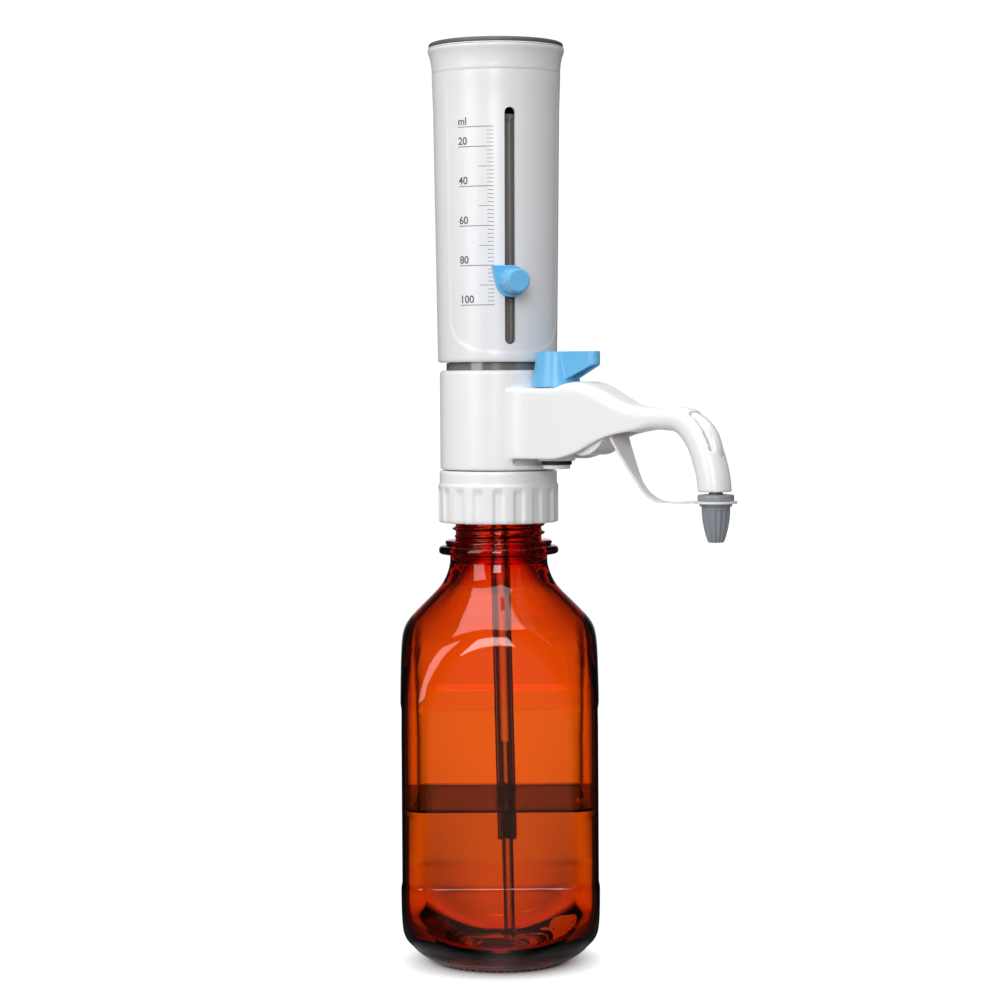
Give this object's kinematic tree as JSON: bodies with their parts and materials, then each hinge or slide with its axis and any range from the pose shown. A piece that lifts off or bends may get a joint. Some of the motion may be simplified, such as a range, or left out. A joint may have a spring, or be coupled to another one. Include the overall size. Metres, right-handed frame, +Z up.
{
  "type": "bottle-top dispenser",
  "caption": "Bottle-top liquid dispenser on a square amber bottle: sliding scale sleeve, volume knob, turning valve lever and a curved discharge arm with a capped nozzle.",
  "frame": {"origin": "on the bottle's axis at the plane of its foot", "axes": "+Z up along the bottle's axis; the bottle's flat sides face +X, -X, +Y and -Y; the arm points 45 degrees from +X towards -Y"},
  "size_m": [0.1505, 0.1505, 0.433],
  "materials": {
    "amber_glass": "gloss",
    "clear_glass": "gloss",
    "white_plastic": "satin moulded",
    "pearl_plastic": "satin pearl",
    "blue_plastic": "satin moulded",
    "grey_plastic": "satin",
    "dark_plastic": "smoky",
    "fluoropolymer": "waxy white",
    "clear_tube": "translucent",
    "ceramic": "polished",
    "steel": "brushed",
    "black_rubber": "matt"
  },
  "bodies": {
    "bottle": {"bottle": "amber_glass"},
    "seat": {"mouth_seal": "fluoropolymer"},
    "collar": {"screw_collar": "white_plastic"},
    "head": {"block_cover": "white_plastic", "valve_block": "white_plastic", "suction_valve": "fluoropolymer", "discharge_valve": "fluoropolymer", "discharge_tube": "clear_tube", "nozzle_tip": "grey_plastic", "glass_cylinder": "clear_glass", "cylinder_guard": "dark_plastic", "filling_tube_outer": "clear_tube"},
    "suction_ball": {"suction_ball": "ceramic"},
    "discharge_ball": {"discharge_ball": "ceramic"},
    "plunger": {"piston": "fluoropolymer", "piston_seal": "fluoropolymer", "piston_rod": "fluoropolymer", "rod_screw": "steel", "scale_sleeve": "pearl_plastic", "grip_collar": "white_plastic", "top_cap": "grey_plastic"},
    "pointer": {"pointer_plate": "blue_plastic", "clamp_bolt": "steel"},
    "knob": {"volume_knob": "blue_plastic"},
    "lever": {"valve_lever": "blue_plastic", "valve_spindle": "fluoropolymer", "spindle_ring": "black_rubber", "spindle_cap": "white_plastic"},
    "cap": {"nozzle_cap": "grey_plastic", "cap_strap": "white_plastic"},
    "inner_tube": {"filling_tube_inner": "clear_tube"}
  },
  "joints": [
    {"name": "head_lift", "type": "slide", "parent": "bottle", "child": "seat", "axis": [0, 0, 1], "range_m": [0, 0.012]},
    {"name": "collar_turn", "type": "hinge", "parent": "seat", "child": "collar", "pos_m": [0, 0, 0.217], "axis": [0, 0, 1], "range_deg": [0, 1080]},
    {"name": "head_swivel", "type": "hinge", "parent": "seat", "child": "head", "pos_m": [0, 0, 0.224], "axis": [0, 0, 1], "continuous": true},
    {"name": "piston_stroke", "type": "slide", "parent": "head", "child": "plunger", "axis": [0, 0, 1], "range_m": [0, 0.0912]},
    {"name": "volume_set", "type": "slide", "parent": "plunger", "child": "pointer", "axis": [0.0029, -0.0132, 0.9999], "range_m": [-0.0182, 0.0638]},
    {"name": "knob_turn", "type": "hinge", "parent": "pointer", "child": "knob", "pos_m": [0.00614, -0.02794, 0.3205], "axis": [0.2147, -0.9766, -0.0135], "range_deg": [0, 180]},
    {"name": "valve_turn", "type": "hinge", "parent": "head", "child": "lever", "pos_m": [0.02701, -0.02701, 0.2715], "axis": [0, 0, -1], "range_deg": [0, 90]},
    {"name": "cap_pull", "type": "slide", "parent": "head", "child": "cap", "axis": [0, 0, -1], "range_m": [0, 0.02], "deforming": ["cap_strap"]},
    {"name": "tube_extend", "type": "slide", "parent": "head", "child": "inner_tube", "axis": [-0.0201, 0, 0.9998], "range_m": [0, 0.08]},
    {"name": "suction_ball_lift", "type": "slide", "parent": "head", "child": "suction_ball", "axis": [0, 0, 1], "range_m": [0, 0.0012]},
    {"name": "discharge_ball_lift", "type": "slide", "parent": "head", "child": "discharge_ball", "axis": [0, 0, 1], "range_m": [0, 0.0012]}
  ],
  "couplings": [
    {"joint": "collar_turn", "follows": "head_lift", "rad_per_m": 1570.8}
  ]
}
